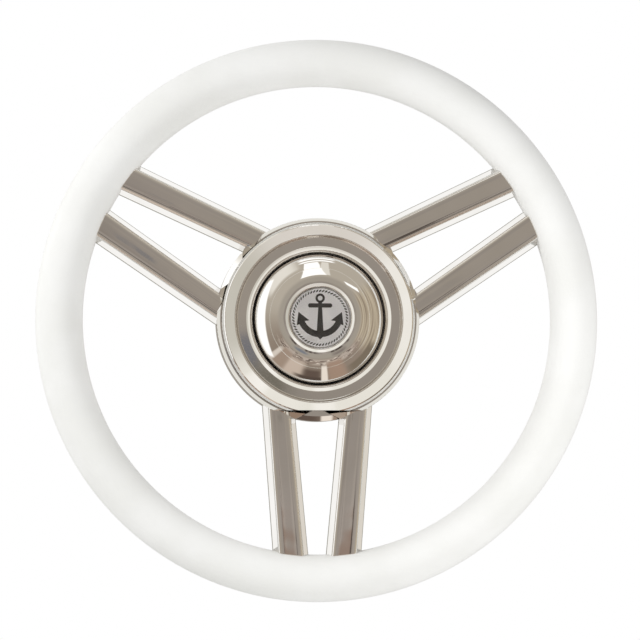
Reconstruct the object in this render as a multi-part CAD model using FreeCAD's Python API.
# Boat steering wheel with a moulded white grip and three pairs of polished spokes.
#
# Frame: millimetres, +Z up. The wheel turns about the Y axis and its front looks
# along -Y. The origin is where the shaft enters: the middle of the boss's back
# face. The bottom pair of spokes points along -Z.
#
# A place along the axis is given as "forward": how far it lies in front of the
# middle plane of the grip. Forward is the opposite of Y, and the finished solids
# are moved forward by the dish, so that the boss's back face lies at Y = 0.
# A pair of spokes is drawn as the bottom pair: a station is a distance from the
# axis down the pair, and a spread is a distance sideways from its middle line.

import FreeCAD, Part
import math
import os
from FreeCAD import Vector

# Grip and the steel ring inside it
wheel_diameter = 350.0
dish = 45.0
grip_diameter = 29.5
ring_bar_diameter = 10.0
lug_width = 7.0
lug_thickness = 4.5
lug_reach_into_spoke = 16.0

# Spokes: pressed sheet, two arms to a pair
sheet = 2.0
spoke_face_forward = 6.5
arm_depth = 9.0
arm_edge_radius = 2.0
arm_lip_radius = 0.8
arm_spread_at_hub = 23.4
arm_spread_at_rim = 16.0
face_width_at_hub = 13.2
face_width_at_rim = 15.0
arm_wall_lean = 4.0
arm_end_to_ring_gap = 4.0

# Root of a pair, where the arms run down to a flat plate under the trim ring
root_drop = 3.0
ramp_angle = 20.0
ramp_corner_spread = 24.1
notch_corner_spread = 14.0
notch_corner_past_flat = 5.0
notch_tip_inside_flat = 1.9
arm_start_inside_flat = 6.6
root_plate_half_width = 22.0
root_outline_station = 26.0
root_plate_inside_clamp = 1.0

# Hub shell, the turned cup behind the spokes
crease_radius = 60.0
flat_inside_crease = 3.4
shell_shoulder_width = 3.0
shell_wall = 3.0
shell_back_wall = 2.0
shell_lip_forward = 11.6
shell_lip_width = 0.8
shell_shoulder_drop = 3.4
shell_shoulder_rounding = 2.0
shell_bend_forward = -16.0
shell_bend_rounding = 16.0
shell_back_inset = 25.0
shell_back_forward = -38.0
shell_back_rounding = 6.0
shell_seat_drop = 0.9
shell_ledge_inside_flat = 1.6
shell_ledge_thickness = 2.0

# Trim ring in front of the spokes
trim_wall = 2.0
trim_edge_radius = 51.8
trim_top_forward = 17.6
trim_side_forward = 12.9
trim_side_rounding = 1.0
trim_corner_radius = 58.4
trim_corner_forward = 14.7
trim_corner_rounding = 2.2
trim_edge_rounding = 0.7
trim_step_rounding = 0.5
trim_land_outer = 50.4
trim_land_inner = 45.0
trim_land_forward = 15.8
trim_bead_outer = 43.9
trim_bead_outer_forward = 16.3
trim_bead_crest = 42.3
trim_bead_forward = 17.05
trim_bead_rounding = 0.8
trim_bead_lip_drop = 1.1
well_radius = 41.2
well_flange_past_socket = 0.5

# Boss, clamp ring and screws
shaft_taper_diameter = 19.05
taper_rate = 1.0 / 12.0
keyway_width = 4.76
keyway_depth = 2.2
boss_radius = 24.0
boss_flange_past_clamp = 2.0
boss_flange_thickness = 5.0
nut_recess_radius = 15.0
nut_recess_depth = 8.0
clamp_ring_thickness = 2.0
clamp_ring_outer = 46.0
clamp_inside_socket = 1.4
spoke_screw_circle = 41.0
spoke_screw_angle = 22.0
spoke_screw_diameter = 5.0
spoke_screw_head = 9.2
spoke_screw_length = 8.6
socket_screw_diameter = 3.0
socket_screw_head = 5.6
socket_screw_length = 15.6
screw_hole_gap = 0.2
screw_key_share = 0.3
circlip_thickness = 1.75
circlip_groove_depth = 1.5
circlip_width = 4.0
circlip_opening = 34.0
circlip_ear_radius = 3.4
circlip_ear_overhang = 1.1
circlip_ear_hole = 1.25

# Centre cap, its socket and the badge
cap_to_well_gap = 1.35
cap_wall = 1.2
cap_rim_forward = 17.2
cap_rim_rounding = 2.5
cap_dome_radius = 32.0
cap_dome_forward = 25.8
cap_dome_rounding = 23.6
cap_bead_foot = 21.4
cap_bead_foot_forward = 26.5
cap_bead_foot_rounding = 0.3
cap_bead_crest = 19.2
cap_bead_forward = 27.5
cap_bead_rounding = 0.6
badge_recess_depth = 1.8
badge_radius = 18.3
badge_thickness = 0.8
badge_dome_edge = 0.25
badge_dome_rise = 1.3
socket_height = 6.5
socket_foot_height = 1.2
socket_wall = 7.0
oring_section = 2.0
oring_height_above_flange = 4.0

# Clearances
running_gap = 0.3
fit_gap = 0.2
cut_past = 1.0
same_place = 1e-6

# Worked out from the sizes above
grip_mean_radius = (wheel_diameter - grip_diameter) / 2
boss_back_forward = -dish
flat_distance = crease_radius - flat_inside_crease
shell_radius = crease_radius + shell_shoulder_width
shell_back_radius = shell_radius - shell_back_inset
shell_seat = spoke_face_forward - shell_seat_drop
arm_end_radius = grip_mean_radius - ring_bar_diameter / 2 - arm_end_to_ring_gap
arm_start_station = flat_distance - arm_start_inside_flat
notch_corner_station = flat_distance + notch_corner_past_flat
notch_tip_station = flat_distance - notch_tip_inside_flat
boss_flange_radius = clamp_ring_outer + boss_flange_past_clamp
cap_radius = well_radius - cap_to_well_gap
arm_back_forward = spoke_face_forward - arm_depth
root_forward = spoke_face_forward - root_drop
flange_front = root_forward - sheet
flange_back = flange_front - boss_flange_thickness
clamp_front = root_forward + clamp_ring_thickness
well_floor = clamp_front + trim_wall
socket_front = well_floor + socket_height
badge_seat = cap_bead_forward - badge_recess_depth
badge_front = badge_seat + badge_thickness
cap_skirt_inner = cap_radius - cap_wall
socket_radius = cap_skirt_inner - running_gap
socket_inner_radius = socket_radius - socket_wall
socket_foot_front = well_floor + socket_foot_height
socket_screw_circle = socket_inner_radius + socket_screw_head / 2 + fit_gap
well_flange_radius = socket_inner_radius + well_flange_past_socket
clamp_ring_inner = socket_inner_radius - clamp_inside_socket
root_inner_radius = clamp_ring_inner + root_plate_inside_clamp
boss_hole_radius = boss_radius + fit_gap
circlip_groove_radius = boss_radius - circlip_groove_depth
pair_turns = {"bottom": 0.0, "left": 120.0, "right": 240.0}
axis = Vector(0, 1, 0)
origin = Vector(0, 0, 0)


def unit(start, end):
    """Direction from one flat point to another, and how far apart they are."""
    across = end[0] - start[0]
    along_it = end[1] - start[1]
    length = math.hypot(across, along_it)
    return across / length, along_it / length, length


def rounded_wire(corners, place):
    """Closed wire through (a, b, radius) corners, each rounded by its own radius."""
    arcs = []
    for index, here in enumerate(corners):
        back = unit(here, corners[index - 1])
        ahead = unit(here, corners[(index + 1) % len(corners)])
        if here[2] == 0:
            arcs.append((place(here[0], here[1]), None, place(here[0], here[1])))
            continue
        opening = math.acos(back[0] * ahead[0] + back[1] * ahead[1])
        run = here[2] / math.tan(opening / 2)
        rise = here[2] / math.sin(opening / 2) - here[2]
        middle = unit((0, 0), (back[0] + ahead[0], back[1] + ahead[1]))
        start = place(here[0] + back[0] * run, here[1] + back[1] * run)
        crown = place(here[0] + middle[0] * rise, here[1] + middle[1] * rise)
        end = place(here[0] + ahead[0] * run, here[1] + ahead[1] * run)
        arcs.append((start, crown, end))
    edges = []
    for index, (start, crown, end) in enumerate(arcs):
        before = arcs[index - 1][2]
        if before.distanceToPoint(start) > same_place:
            edges.append(Part.LineSegment(before, start).toShape())
        if crown is not None:
            edges.append(Part.Arc(start, crown, end).toShape())
    return Part.Wire(edges)


def turned(corners):
    """Solid of revolution about the wheel's axis from (radius, forward, rounding) corners."""
    wire = rounded_wire(corners, lambda radius, forward: Vector(0, -forward, radius))
    return Part.Face(wire).revolve(origin, axis, 360)


def disc(radius, back, front):
    """Cylinder on the wheel's axis between two forward places."""
    return Part.makeCylinder(radius, front - back, Vector(0, -front, 0), axis)


def tube(outer, inner, back, front):
    """Plain ring on the wheel's axis between two forward places."""
    return disc(outer, back, front).cut(disc(inner, back - cut_past, front + cut_past))


def plan_prism(points, back, front):
    """Straight prism from (spread, station) points between two forward places."""
    corners = [Vector(spread, -front, -station) for spread, station in points]
    wire = Part.makePolygon(corners + corners[:1])
    return Part.Face(wire).extrude(Vector(0, front - back, 0))


def about_axis(shape, turn):
    """The same shape turned about the wheel's axis."""
    copy = shape.copy()
    copy.rotate(origin, axis, turn)
    return copy


def mirrored(shape):
    """The same shape on the other side of the pair's middle line."""
    return shape.mirror(origin, Vector(1, 0, 0))


def between(at_hub, at_rim, station):
    """A size that changes evenly from the hub end of an arm to its rim end."""
    share = (station - shell_radius) / (arm_end_radius - shell_radius)
    return at_hub + (at_rim - at_hub) * share


def arm_section(station, inset):
    """Four corners of one arm's section, its skin moved inwards by inset."""
    spread = between(arm_spread_at_hub, arm_spread_at_rim, station)
    half_face = between(face_width_at_hub, face_width_at_rim, station) / 2
    slope = arm_wall_lean / arm_depth
    wall = inset * math.hypot(1, slope)
    top = spoke_face_forward - inset
    bottom = arm_back_forward - abs(inset)
    corners = []
    for side, forward in ((-1, bottom), (1, bottom), (1, top), (-1, top)):
        half = half_face + slope * (spoke_face_forward - forward) - wall
        corners.append(Vector(spread + side * half, -forward, -station))
    return corners


def arm_form(inset):
    """One arm as a closed form with leaning side walls, its skin moved inwards by inset."""
    near = arm_section(arm_start_station, inset)
    far = arm_section(grip_mean_radius, inset)
    outlines = [near, far]
    for index in range(4):
        following = (index + 1) % 4
        outlines.append([near[index], near[following], far[following], far[index]])
    faces = [Part.Face(Part.makePolygon(corners + corners[:1])) for corners in outlines]
    form = Part.makeSolid(Part.makeShell(faces))
    if form.Volume < 0:
        form.reverse()
    return form


def rounded_arm():
    """The outside of one arm, with its face edges and its back lips rounded."""
    form = arm_form(0)
    roundings = {spoke_face_forward: arm_edge_radius, arm_back_forward: arm_lip_radius}
    for forward, radius in roundings.items():
        long_edges = []
        for edge in form.Edges:
            level = all(abs(vertex.Y + forward) < same_place for vertex in edge.Vertexes)
            if level and edge.Length > grip_mean_radius / 2:
                long_edges.append(edge)
        form = form.makeFillet(radius, long_edges)
    return form


def root_outline():
    """Outline of a pair's root, with the notch that ends the slot between its arms."""
    face_inner = arm_spread_at_hub - face_width_at_hub / 2
    face_outer = arm_spread_at_hub + face_width_at_hub / 2 - arm_edge_radius
    side = [
        (notch_corner_spread, notch_corner_station),
        (face_inner, notch_corner_station),
        (face_outer, flat_distance),
        (face_outer, arm_start_station),
        (root_plate_half_width, root_outline_station),
    ]
    other_side = [(-spread, station) for spread, station in reversed(side)]
    return [(0, notch_tip_station)] + side + other_side


def ramp_cutter(inset):
    """What stands in front of the ramp that leads one arm down to the root plate."""
    start = (ramp_corner_spread, flat_distance)
    line = unit(start, (notch_corner_spread, notch_corner_station))
    slope = math.tan(math.radians(ramp_angle))
    drop = inset / math.cos(math.radians(ramp_angle))
    face = spoke_face_forward - drop
    floor = root_forward - inset
    reach = shell_radius
    clear = spoke_face_forward + reach
    profile = [
        (-reach, face + reach * slope),
        ((face - floor) / slope, floor),
        (reach, floor),
        (reach, clear),
        (-reach, clear),
    ]
    first = (start[0] - line[0] * reach, start[1] - line[1] * reach)
    corners = []
    for inward, forward in profile:
        spread = first[0] - line[1] * inward
        station = first[1] + line[0] * inward
        corners.append(Vector(spread, -forward, -station))
    wire = Part.makePolygon(corners + corners[:1])
    path = Vector(line[0], 0, -line[1]) * (2 * reach)
    wedge = Part.Face(wire).extrude(path)
    own_side = Part.makeBox(2 * reach, 4 * reach, 4 * reach, Vector(0, -2 * reach, -3 * reach))
    return wedge.common(own_side)


def pair_form(inset, ramped=True):
    """Outer form of a pair of spokes, its skin moved inwards by inset."""
    back = arm_back_forward - abs(inset)
    front = spoke_face_forward - inset
    arm = rounded_arm() if inset == 0 else arm_form(inset)
    outline = plan_prism(root_outline(), back, front)
    if inset != 0:
        base = min(outline.Faces, key=lambda face: -face.CenterOfMass.y)
        outline = base.makeOffset2D(-inset, 2).extrude(Vector(0, -(front - back), 0))
    form = arm.fuse([mirrored(arm), outline])
    if ramped:
        wedge = ramp_cutter(inset)
        form = form.cut([wedge, mirrored(wedge)])
    return form.removeSplitter()


def screw_places(circle, turns):
    """Points on a circle about the axis, each at a turn from the bottom."""
    places = []
    for turn in turns:
        angle = math.radians(turn)
        places.append(Vector(-circle * math.sin(angle), 0, -circle * math.cos(angle)))
    return places


def spoke_screw_places():
    turns = []
    for turn in pair_turns.values():
        turns.append(turn - spoke_screw_angle)
        turns.append(turn + spoke_screw_angle)
    return screw_places(spoke_screw_circle, turns)


def socket_screw_places():
    return screw_places(socket_screw_circle, [turn + 180 for turn in pair_turns.values()])


def drilled(shape, places, radius, back, front):
    """The shape with a round hole at each place."""
    for place in places:
        hole = Part.makeCylinder(radius, front - back, place - axis * front, axis)
        shape = shape.cut(hole)
    return shape


def countersunk(shape, places, head, shank, front):
    """The shape with a 90 degree countersink at each place, to a head's size."""
    depth = (head - shank) / 2
    for place in places:
        cone = Part.makeCone(head / 2, shank / 2, depth, place - axis * front, axis)
        shape = shape.cut(cone)
    return shape


def countersunk_screws(places, diameter, head, length, front):
    """Flat-headed screws with a six-sided socket, one solid for each place."""
    depth = (head - diameter) / 2
    key_radius = head * screw_key_share
    key_depth = diameter / 2
    screws = []
    for place in places:
        top = place - axis * front
        cone = Part.makeCone(head / 2, diameter / 2, depth, top, axis)
        shank = Part.makeCylinder(diameter / 2, length, top, axis)
        corners = []
        for side in range(7):
            angle = math.radians(60 * side)
            corners.append(top + Vector(key_radius * math.cos(angle), 0, key_radius * math.sin(angle)))
        key = Part.makePolygon(corners)
        socket = Part.Face(key).extrude(axis * key_depth)
        screws.append(cone.fuse(shank).cut(socket).removeSplitter())
    return Part.makeCompound(screws)


def spoke_pair(turn):
    """Pressed pair of spokes: open channels at the back, flat plate at the root."""
    inner_edge = disc(root_inner_radius, arm_back_forward - cut_past, spoke_face_forward + cut_past)
    below_plate = disc(boss_flange_radius + running_gap, arm_back_forward - cut_past, flange_front)
    rim_end = disc(arm_end_radius, arm_back_forward - cut_past, spoke_face_forward + cut_past)
    pair = pair_form(0).cut(pair_form(sheet)).cut([inner_edge, below_plate]).common(rim_end)
    places = screw_places(spoke_screw_circle, [-spoke_screw_angle, spoke_screw_angle])
    hole = spoke_screw_diameter / 2 + screw_hole_gap
    pair = drilled(pair, places, hole, arm_back_forward, spoke_face_forward)
    return about_axis(pair.removeSplitter(), turn)


def rim_ring():
    """Steel ring inside the grip, with a lug welded on for each of the six arms."""
    ring = Part.makeTorus(grip_mean_radius, ring_bar_diameter / 2, origin, axis)
    front = spoke_face_forward - sheet
    back = front - lug_thickness
    start = arm_end_radius - lug_reach_into_spoke
    end = grip_mean_radius - ring_bar_diameter / 4
    lugs = []
    near = between(arm_spread_at_hub, arm_spread_at_rim, start)
    far = between(arm_spread_at_hub, arm_spread_at_rim, end)
    half = lug_width / 2
    corners = [(near - half, start), (near + half, start), (far + half, end), (far - half, end)]
    lug = plan_prism(corners, back, front)
    for turn in pair_turns.values():
        lugs.append(about_axis(lug, turn))
        lugs.append(about_axis(mirrored(lug), turn))
    return ring.fuse(lugs)


def rim_grip(inside):
    """White grip, moulded round the ring and the ends of the spokes."""
    grip = Part.makeTorus(grip_mean_radius, grip_diameter / 2, origin, axis)
    return grip.cut(inside)


def hub_shell():
    """Turned cup behind the spokes, with a way through its wall for each pair."""
    lip_drop = shell_lip_forward - shell_shoulder_drop
    wall_radius = shell_radius - shell_wall
    inner_edge = crease_radius + fit_gap
    ledge_radius = flat_distance - shell_ledge_inside_flat
    cup = turned([
        (inner_edge, shell_lip_forward, 0),
        (inner_edge + shell_lip_width, shell_lip_forward, 0),
        (shell_radius, lip_drop, shell_shoulder_rounding),
        (shell_radius, shell_bend_forward, shell_bend_rounding),
        (shell_back_radius, shell_back_forward, shell_back_rounding),
        (boss_hole_radius, shell_back_forward, 0),
        (boss_hole_radius, shell_back_forward + shell_back_wall, 0),
        (shell_back_radius, shell_back_forward + shell_back_wall, shell_back_rounding - shell_back_wall / 2),
        (wall_radius, shell_bend_forward + shell_back_wall / 2, shell_bend_rounding - shell_back_wall),
        (wall_radius, shell_seat - shell_ledge_thickness, 0),
        (ledge_radius, shell_seat - shell_ledge_thickness, 0),
        (ledge_radius, shell_seat, 0),
        (inner_edge, shell_seat, 0),
    ])
    above_seat = turned([
        (clamp_ring_outer, shell_lip_forward + cut_past, 0),
        (clamp_ring_outer, shell_seat, 0),
        (crease_radius, shell_seat, 0),
        (shell_radius + cut_past, shell_seat - shell_shoulder_drop, 0),
        (shell_radius + cut_past, shell_lip_forward + cut_past, 0),
    ])
    reach = shell_radius + cut_past
    half_opening = arm_spread_at_hub + face_width_at_hub / 2 + fit_gap
    corners = [
        (-half_opening, flat_distance),
        (half_opening, flat_distance),
        (half_opening, reach),
        (-half_opening, reach),
    ]
    window = plan_prism(corners, arm_back_forward, shell_lip_forward + cut_past)
    notch = window.common(above_seat)
    arms = pair_form(-fit_gap, ramped=False)
    for turn in pair_turns.values():
        cup = cup.cut([about_axis(notch, turn), about_axis(arms, turn)])
    return cup


def trim_outside():
    """Everything inside the trim ring's outer skin, bead and well lip included."""
    return turned([
        (crease_radius, spoke_face_forward, 0),
        (crease_radius, trim_side_forward, trim_side_rounding),
        (trim_corner_radius, trim_corner_forward, trim_corner_rounding),
        (trim_edge_radius, trim_top_forward, trim_edge_rounding),
        (trim_land_outer, trim_land_forward, trim_step_rounding),
        (trim_land_inner, trim_land_forward, trim_step_rounding),
        (trim_bead_outer, trim_bead_outer_forward, trim_bead_rounding),
        (trim_bead_crest, trim_bead_forward, trim_bead_rounding),
        (well_radius, trim_bead_forward - trim_bead_lip_drop, trim_step_rounding),
        (well_radius, spoke_face_forward, 0),
    ])


def trim_inside():
    """The hollow behind the trim ring's skin, as wide as the skin's wall lets it be."""
    outer = crease_radius - trim_wall
    inner = trim_land_inner - trim_wall / 2
    land = trim_land_forward - trim_wall
    return turned([
        (outer, spoke_face_forward, 0),
        (outer, trim_side_forward, trim_side_rounding),
        (trim_edge_radius - trim_wall / 4, trim_top_forward - trim_wall, trim_edge_rounding),
        (trim_land_outer, land, trim_step_rounding),
        (inner, land, trim_step_rounding),
        (inner, spoke_face_forward, 0),
    ])


def within_flats(inset):
    """Three-sided prism whose sides are the trim ring's flats, moved inwards by inset."""
    distance = flat_distance - inset
    side = 2 * distance * math.tan(math.radians(60))
    corners = [(-side, distance), (side, distance), (0, distance - side * math.sqrt(3))]
    return plan_prism(corners, 0, trim_top_forward + cut_past)


def trim_ring():
    """Polished ring in front of the spokes, with the well that takes the cap."""
    ring = trim_outside().common(within_flats(0))
    ring = ring.cut(trim_inside().common(within_flats(trim_wall)))
    well_outer = well_radius + trim_wall
    well_wall = tube(well_outer, well_radius, clamp_front, trim_land_forward - trim_wall / 2)
    flange = tube(well_outer, well_flange_radius, clamp_front, well_floor)
    ring = ring.fuse([well_wall, flange]).removeSplitter()
    hole = socket_screw_diameter / 2 + screw_hole_gap
    return drilled(ring, socket_screw_places(), hole, clamp_front - cut_past, well_floor + cut_past)


def clamp_ring():
    """Flat steel ring that holds the spoke plates down on the boss."""
    back = root_forward - cut_past
    front = clamp_front + cut_past
    spoke_hole = spoke_screw_diameter / 2 + screw_hole_gap
    socket_hole = socket_screw_diameter / 2 + screw_hole_gap
    ring = tube(clamp_ring_outer, clamp_ring_inner, root_forward, clamp_front)
    ring = drilled(ring, spoke_screw_places(), spoke_hole, back, front)
    ring = countersunk(ring, spoke_screw_places(), spoke_screw_head, spoke_screw_diameter, clamp_front)
    return drilled(ring, socket_screw_places(), socket_hole, back, front)


def hub_boss():
    """Machined boss with the tapered bore and keyway for the steering shaft."""
    flange = disc(boss_flange_radius, flange_back, flange_front)
    boss = disc(boss_radius, boss_back_forward, flange_back).fuse(flange)
    recess_floor = flange_front - nut_recess_depth
    taper_length = recess_floor - boss_back_forward
    large = shaft_taper_diameter / 2
    small = large - taper_length * taper_rate / 2
    taper = Part.makeCone(small, large, taper_length, Vector(0, -recess_floor, 0), axis)
    recess = disc(nut_recess_radius, recess_floor, flange_front + cut_past)
    keyway = Part.makeBox(
        keyway_width, taper_length + 2 * cut_past, large + keyway_depth,
        Vector(-keyway_width / 2, -recess_floor - cut_past, 0))
    groove_back = shell_back_forward - circlip_thickness
    groove = tube(boss_radius + cut_past, circlip_groove_radius, groove_back, shell_back_forward)
    boss = boss.cut([taper, recess, keyway, groove])
    back = flange_back - cut_past
    front = flange_front + cut_past
    boss = drilled(boss, spoke_screw_places(), spoke_screw_diameter / 2, back, front)
    boss = drilled(boss, socket_screw_places(), socket_screw_diameter / 2, back, front)
    return boss.removeSplitter()


def shell_circlip():
    """Open retaining ring in the boss's groove, which holds the shell on."""
    outer = circlip_groove_radius + circlip_width
    front = shell_back_forward
    back = front - circlip_thickness
    half = math.radians(circlip_opening / 2)
    far = outer * 2
    corners = [
        (0, 0),
        (far * math.sin(half), far * math.cos(half)),
        (-far * math.sin(half), far * math.cos(half)),
    ]
    opening = plan_prism(corners, back - cut_past, front + cut_past)
    clip = tube(outer, circlip_groove_radius, back, front).cut(opening)
    ear_circle = outer + circlip_ear_overhang
    ear_turn = math.degrees(half + circlip_ear_radius / ear_circle)
    ear_places = screw_places(ear_circle, [-ear_turn, ear_turn])
    for place in ear_places:
        ear = Part.makeCylinder(circlip_ear_radius, circlip_thickness, place - axis * front, axis)
        clip = clip.fuse(ear)
    clip = clip.cut(disc(circlip_groove_radius, back - cut_past, front + cut_past))
    clip = drilled(clip, ear_places, circlip_ear_hole, back - cut_past, front + cut_past)
    return clip.removeSplitter()


def cap_socket():
    """Black ring that the cap presses on to, with a foot across the well and a groove for its seal."""
    foot = tube(well_radius - fit_gap, socket_inner_radius, well_floor, socket_foot_front)
    ring = tube(socket_radius, socket_inner_radius, well_floor, socket_front).fuse(foot)
    seal_forward = well_floor + oring_height_above_flange
    groove = tube(socket_radius + cut_past, socket_radius - oring_section,
                  seal_forward - oring_section / 2, seal_forward + oring_section / 2)
    ring = ring.cut(groove)
    shank = socket_screw_diameter + 2 * screw_hole_gap
    ring = drilled(ring, socket_screw_places(), shank / 2, well_floor - cut_past, socket_front + cut_past)
    ring = countersunk(ring, socket_screw_places(), socket_screw_head, socket_screw_diameter, socket_front)
    return ring.removeSplitter()


def cap_oring():
    """Rubber ring in the socket's groove, which grips the cap's skirt."""
    seal_forward = well_floor + oring_height_above_flange
    middle = socket_radius - oring_section / 2
    return Part.makeTorus(middle, oring_section / 2, Vector(0, -seal_forward, 0), axis)


def centre_cap():
    """Deep-drawn domed cap with a lip round the badge's seat."""
    skirt_end = socket_foot_front + running_gap
    seat_back = badge_seat - cap_wall
    return turned([
        (cap_radius, skirt_end, 0),
        (cap_radius, cap_rim_forward, cap_rim_rounding),
        (cap_dome_radius, cap_dome_forward, cap_dome_rounding),
        (cap_bead_foot, cap_bead_foot_forward, cap_bead_foot_rounding),
        (cap_bead_crest, cap_bead_forward, cap_bead_rounding),
        (badge_radius + fit_gap, badge_seat, 0),
        (0, badge_seat, 0),
        (0, seat_back, 0),
        (cap_dome_radius - cap_wall / 2, seat_back, cap_dome_rounding - 2 * cap_wall),
        (cap_skirt_inner, cap_rim_forward - cap_wall / 2, cap_rim_rounding - cap_wall),
        (cap_skirt_inner, skirt_end, 0),
    ])


def badge_disc():
    """Silvered disc that carries the printed motif."""
    return disc(badge_radius, badge_seat, badge_front)


def badge_dome():
    """Clear resin poured over the disc, higher in the middle than at its edge."""
    edge = badge_front + badge_dome_edge
    ball_radius = (badge_radius ** 2 + badge_dome_rise ** 2) / (2 * badge_dome_rise)
    ball_forward = edge + badge_dome_rise - ball_radius
    ball = Part.makeSphere(ball_radius, Vector(0, -ball_forward, 0), axis)
    return ball.common(disc(badge_radius, badge_front, edge + badge_dome_rise + cut_past))


def main():
    os.makedirs("parts", exist_ok=True)
    pairs = {name: spoke_pair(turn) for name, turn in pair_turns.items()}
    ring = rim_ring()
    spoke_screws = countersunk_screws(
        spoke_screw_places(), spoke_screw_diameter, spoke_screw_head, spoke_screw_length, clamp_front)
    socket_screws = countersunk_screws(
        socket_screw_places(), socket_screw_diameter, socket_screw_head, socket_screw_length, socket_front)
    nodes = {
        "rim_grip": rim_grip([ring] + list(pairs.values())),
        "rim_ring": ring,
        "spoke_pair_bottom": pairs["bottom"],
        "spoke_pair_left": pairs["left"],
        "spoke_pair_right": pairs["right"],
        "hub_shell": hub_shell(),
        "trim_ring": trim_ring(),
        "clamp_ring": clamp_ring(),
        "hub_boss": hub_boss(),
        "shell_circlip": shell_circlip(),
        "spoke_screws": spoke_screws,
        "socket_screws": socket_screws,
        "cap_socket": cap_socket(),
        "cap_oring": cap_oring(),
        "centre_cap": centre_cap(),
        "badge_disc": badge_disc(),
        "badge_dome": badge_dome(),
    }
    for name, shape in nodes.items():
        shape.translate(Vector(0, boss_back_forward, 0))
        box = shape.optimalBoundingBox()
        limits = (box.XMin, box.XMax, box.YMin, box.YMax, box.ZMin, box.ZMax)
        print(name, "solids", len(shape.Solids), "valid", shape.isValid(), "volume", round(shape.Volume, 1))
        print("    box", [round(limit, 1) for limit in limits])
        shape.exportStep(os.path.join("parts", name + ".step"))


main()
